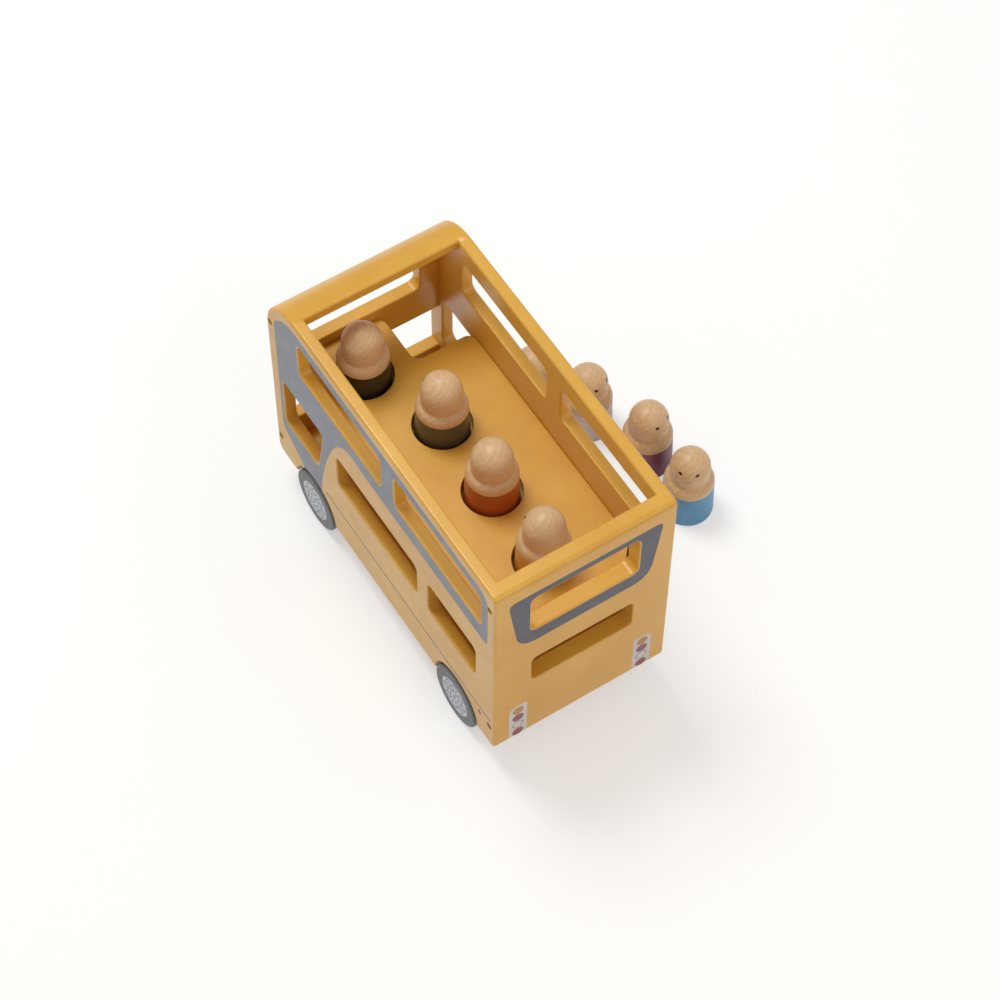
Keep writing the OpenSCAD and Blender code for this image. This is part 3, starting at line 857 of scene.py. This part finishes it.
def turnedWheel():
    # drawn flat, with its outer face up
    w = wheel
    profile = [(0, w["seat"]), (w["axle"], w["seat"]), (w["axle"], 0)]
    profile += arc((w["radius"] - w["edge"], w["edge"]), w["edge"], -90, 0, 6)
    profile += arc((w["radius"] - w["edge"], w["width"] - w["edge"]), w["edge"], 0, 90, 6)
    profile += [(0, w["width"])]
    piece = ink(turnOnLathe("wheel", profile, 96), tyreGrey)
    top = w["width"]

    def lay(middle, radius, deep, finish, sides=32, hole=0):
        shape = addRod("print", (*middle, top - deep + past), radius, 2 * past, sides=sides)
        if hole:
            cut(shape, addRod("hole", (*middle, top), hole, 8 * past, sides=sides))
        cut(piece, ink(shape, finish), ink=True)

    lay((0, 0), w["hub"], thin, hubPale, 96)
    for k in range(w["loops"]):
        angle = 2 * math.pi * k / w["loops"]
        way = Vector((math.cos(angle), math.sin(angle)))
        lay(way * w["loopAt"], w["loopRadius"], 2 * thin, hubLine, 24,
            w["loopRadius"] - w["loopLine"])
        angle += math.pi / w["loops"]
        between = Vector((math.cos(angle), math.sin(angle)))
        lay(between * w["dotAt"], w["dot"], 2 * thin, hubLine, 16)
    lay((0, 0), w["middle"], 2 * thin, hubLine, 24)
    return piece


flatWheel = turnedWheel()
wheels = {}
for name, x, side in (("frontLeftWheel", 1, 1), ("frontRightWheel", 1, -1),
                      ("rearLeftWheel", 0, 1), ("rearRightWheel", 0, -1)):
    piece = copyOf(flatWheel, name)
    turnBy(piece, side * math.pi / 2, "X")
    low = min(v.co.y for v in piece.data.vertices)
    if (low < -mm) != (side < 0):   # the outer face has to look outwards
        turnBy(piece, math.pi, "Z")
    moveTo(piece, Vector((body["archX"][x], side * wheel["inner"], 0)) * mm)
    wheels[name] = piece
bpy.data.objects.remove(flatWheel)
print("wheels turned")


peg = {"foot": 18.79, "top": 17.8, "height": 64, "shoulder": 40.2, "shoulderRound": 7,
       "head": 14.2, "stretch": 6, "neck": 2.2, "footRound": 1, "painted": 31.6,
       "eyeHeight": 55.8, "eyeApart": 27.7, "eye": (1.6, 1.15), "eyeTurn": 0.35,
       "smileHeight": 49.2, "smileDot": (0.6, 0.3), "smileStep": 2.6, "smileRise": 0.11,
       "smileTurn": 0.16, "mark": (0.22, 0.1)}   # how thick a mark is, and how deep it sits

passengers = {   # slot, paint, and the way each one faces
    "seated_passenger_1": ("charcoal_peg", (38, 32, 26), 0),
    "seated_passenger_2": ("olive_peg", (82, 78, 66), 4),
    "seated_passenger_3": ("rust_peg", (176, 84, 26), -6),
    "seated_passenger_4": ("mustard_peg", (204, 152, 66), 12),
    "standing_passenger_1": ("blue_peg", (88, 150, 196), 138),
    "standing_passenger_2": ("burgundy_peg", (132, 38, 62), 200),
    "standing_passenger_3": ("rose_peg", (222, 204, 206), 200),
    "standing_passenger_4": ("sand_peg", (202, 172, 128), 100),
}


def turnedPeg():
    p = peg
    top = p["height"] - p["head"]
    low = top - p["stretch"]
    profile = [(0, 0)]
    profile += arc((p["foot"] - p["footRound"], p["footRound"]), p["footRound"], -90, 0, 4)
    share = p["painted"] / (p["shoulder"] - p["shoulderRound"])
    profile += [(p["foot"] + (p["top"] - p["foot"]) * share, p["painted"])]
    # the shoulder slopes up to the neck, a small hollow that touches shoulder and head
    shoulder = (p["top"] - p["shoulderRound"], p["shoulder"] - p["shoulderRound"])
    reachA, reachB = p["shoulderRound"] + p["neck"], p["head"] + p["neck"]
    apart = math.hypot(shoulder[0], shoulder[1] - low)
    along = (reachB ** 2 - reachA ** 2 + apart ** 2) / (2 * apart)
    off = math.sqrt(reachB ** 2 - along ** 2)
    way = (shoulder[0] / apart, (shoulder[1] - low) / apart)
    neck = (along * way[0] - off * way[1], low + along * way[1] + off * way[0])
    fromShoulder = math.degrees(math.atan2(neck[1] - shoulder[1], neck[0] - shoulder[0]))
    fromHead = math.degrees(math.atan2(neck[1] - low, neck[0]))
    profile += arc(shoulder, p["shoulderRound"], 0, fromShoulder, 8)
    profile += arc(neck, p["neck"], fromShoulder - 180, fromHead - 180, 6)[1:-1]
    profile += arc((0, low), p["head"], fromHead, 0, 6)
    profile += arc((0, top), p["head"], 0, 90, 16)
    piece = turnOnLathe("peg", profile, 80)
    ink(piece, beech)
    return piece


def onHead(azimuth, height):
    # the point of the head's surface at a height, and the way it faces
    top = peg["height"] - peg["head"]
    centre = Vector((0, 0, min(max(height, top - peg["stretch"]), top)))
    rise = (height - centre.z) / peg["head"]
    flat = math.sqrt(max(0, 1 - rise * rise))
    way = Vector((flat * math.cos(azimuth), flat * math.sin(azimuth), rise))
    return centre + way * peg["head"], way


def faceMark(name, place, way, size, slant, finish):
    # a small lens of print on the head
    deselectAll()
    bpy.ops.mesh.primitive_uv_sphere_add(segments=20, ring_count=10, radius=mm)
    mark = nameIt(name)
    thick, sunk = peg["mark"]
    mark.scale = (size[0], size[1], thick)
    bpy.ops.object.transform_apply(location=False, rotation=False, scale=True)
    side = Vector((0, 0, 1)).cross(way).normalized()
    up = way.cross(side)
    turned = Matrix((side, up, way)).transposed()
    mark.matrix_world = (Matrix.Translation((place - way * sunk) * mm) @ turned.to_4x4()
                         @ Matrix.Rotation(slant, 4, "Z"))
    bpy.ops.object.transform_apply(location=True, rotation=True, scale=True)
    bpy.ops.object.shade_smooth()
    return ink(mark, finish)


def addFace(piece, facing):
    marks = []
    for side in (-1, 1):
        azimuth = math.radians(facing + side * peg["eyeApart"])
        place, way = onHead(azimuth, peg["eyeHeight"])
        marks.append(faceMark("eye", place, way, peg["eye"], side * peg["eyeTurn"], eyeBrown))
    for k in range(-3, 4):   # the smile is a short row of dots that run into a line
        azimuth = math.radians(facing + k * peg["smileStep"])
        place, way = onHead(azimuth, peg["smileHeight"] + peg["smileRise"] * k * k)
        marks.append(faceMark("smile", place, way, peg["smileDot"], peg["smileTurn"] * k, smileRed))
    only(piece)
    for mark in marks:
        mark.select_set(True)
    bpy.ops.object.join()


plainPeg = turnedPeg()
figures = {}
for node, (slotName, colour, facing) in passengers.items():
    figure = copyOf(plainPeg, node.title().replace("_", ""))
    paint = pegPaint(slotName.replace("_", " ") + " paint", colour)
    figure.data.materials.append(paint)
    for face in figure.data.polygons:
        if face.center.z < peg["painted"] * mm:
            face.material_index = 1
    addFace(figure, facing)
    low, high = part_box(node)
    moveTo(figure, ((low.x + high.x) / 2, (low.y + high.y) / 2, low.z))
    figures[node] = figure
bpy.data.objects.remove(plainPeg)
print("passengers turned and painted")


busPlace = Vector((0, busCorner[1].y - body["halfWidth"] * mm, busCorner[0].z))


def seat(piece, rides, slotName, *nodes):
    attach(piece, rides)
    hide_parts(*nodes)


for name, node in boardNodes.items():
    moveTo(boards[name], busPlace)
    finishShading(boards[name])
    seat(boards[name], "bus", "honey_lacquer", node)
for piece, node in ((upperDeck, "upper_deck"), (lowerDeck, "lower_deck")):
    moveTo(piece, busPlace)
    finishShading(piece)
    seat(piece, "bus", "honey_lacquer", node)
for piece, node in ((frontBlock, "front_axle_block"), (rearBlock, "rear_axle_block")):
    moveTo(piece, busPlace)
    finishShading(piece)
    seat(piece, "bus", "bare_beech", node)
for name, piece in wheels.items():
    moveTo(piece, busPlace)
    finishShading(piece)
    end = "front" if name.startswith("front") else "rear"
    flank = "left" if "Left" in name else "right"
    seat(piece, end + "_wheelset", "grey_wheel_paint", end + "_" + flank + "_wheel")
for node, figure in figures.items():
    finishShading(figure)
    seat(figure, node, passengers[node][0], node)

steel, bronze = brushedSteel(), bronzedSteel()
for node, finish in (("front_axle", steel), ("rear_axle", steel), ("left_screws", bronze),
                     ("right_screws", bronze), ("upper_deck_dowels", beech),
                     ("lower_deck_dowels", beech)):
    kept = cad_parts[node]
    kept.data.materials.clear()
    kept.data.materials.append(finish)
print("pieces placed")


studio = {
    "floor": (0.85, 0.86, 0.88), "lift": 0.3, "glow": 1.58,
    "sky": 0.47, "skySeen": 0.6, "skyTint": (1, 0.935, 0.89, 1),
    "key": (32, (1.0, 0.25, 2.5), 1.1, (0.97, 1.0, 0.94)),     # power, place, size, tint
    "fill": (9, (-2.0, -0.4, 1.4), 1.6, (1.0, 0.84, 0.7)),
    "aim": (0, 0.03, 0.1),
    "camera": ((-0.91001, 0.61943, 1.81278), (0.55573775, -0.00565974, -2.13831699)),
    "lens": 109.13, "sensor": 36,
}


def studioFloor():
    deselectAll()
    bpy.ops.mesh.primitive_plane_add(size=12, location=(0, 0, 0))
    floor = nameIt("studioFloor")
    finish = bpy.data.materials.new("studio floor")
    finish.use_nodes = True
    tree = finish.node_tree
    shader = tree.nodes["Principled BSDF"]
    shader.inputs["Roughness"].default_value = 0.9
    shader.inputs["Specular IOR Level"].default_value = 0.1
    paper = studio["floor"]
    clouds = noise(tree, objectSpace(tree), 40, 4)
    tree.links.new(blend(tree, clouds, (*paper, 1), tuple(0.99 * value for value in paper) + (1,)),
                   shader.inputs["Base Color"])
    # the camera and the reflections see the paper nearly white, and the shadow on it softened
    ray = addNode(tree, "ShaderNodeLightPath")
    glow = addNode(tree, "ShaderNodeEmission", {"Color": (1, 1, 1, 1), "Strength": studio["glow"]})
    both = addNode(tree, "ShaderNodeMixShader")
    seen = sums(tree, "MAXIMUM", ray.outputs["Is Camera Ray"], ray.outputs["Is Glossy Ray"])
    tree.links.new(sums(tree, "MULTIPLY", seen, studio["lift"]), both.inputs[0])
    tree.links.new(shader.outputs[0], both.inputs[1])
    tree.links.new(glow.outputs[0], both.inputs[2])
    tree.links.new(both.outputs[0], tree.nodes["Material Output"].inputs["Surface"])
    floor.data.materials.append(finish)


def studioSky():
    world = bpy.data.worlds.new("studio")
    bpy.context.scene.world = world
    world.use_nodes = True
    tree = world.node_tree
    back = tree.nodes["Background"]
    ray = addNode(tree, "ShaderNodeLightPath")
    # the camera sees plain white
    tree.links.new(blend(tree, ray.outputs["Is Camera Ray"], studio["skyTint"], (1, 1, 1, 1)),
                   back.inputs["Color"])
    level = spread(tree, ray.outputs["Is Glossy Ray"], studio["sky"], studio["skySeen"], 0, 1)
    tree.links.new(sums(tree, "MAXIMUM", level, ray.outputs["Is Camera Ray"]),
                   back.inputs["Strength"])


def studioLamp(name):
    power, place, size, tint = studio[name]
    deselectAll()
    bpy.ops.object.light_add(type="AREA", location=place)
    lamp = bpy.context.object
    lamp.name = name + "Light"
    lamp.data.shape = "DISK"
    lamp.data.size = size
    lamp.data.energy = power
    lamp.data.color = tint
    way = Vector(studio["aim"]) - Vector(place)
    lamp.rotation_euler = way.to_track_quat("-Z", "Y").to_euler()


def studioCamera():
    deselectAll()
    place, turn = studio["camera"]
    bpy.ops.object.camera_add(location=place, rotation=turn)
    camera = bpy.context.object
    camera.data.sensor_width = studio["sensor"]
    camera.data.lens = studio["lens"]
    camera.data.clip_start, camera.data.clip_end = 0.01, 50
    bpy.context.scene.camera = camera


studioFloor()
studioSky()
studioLamp("key")
studioLamp("fill")
studioCamera()
bpy.context.scene.view_settings.view_transform = "Standard"
print("studio set")
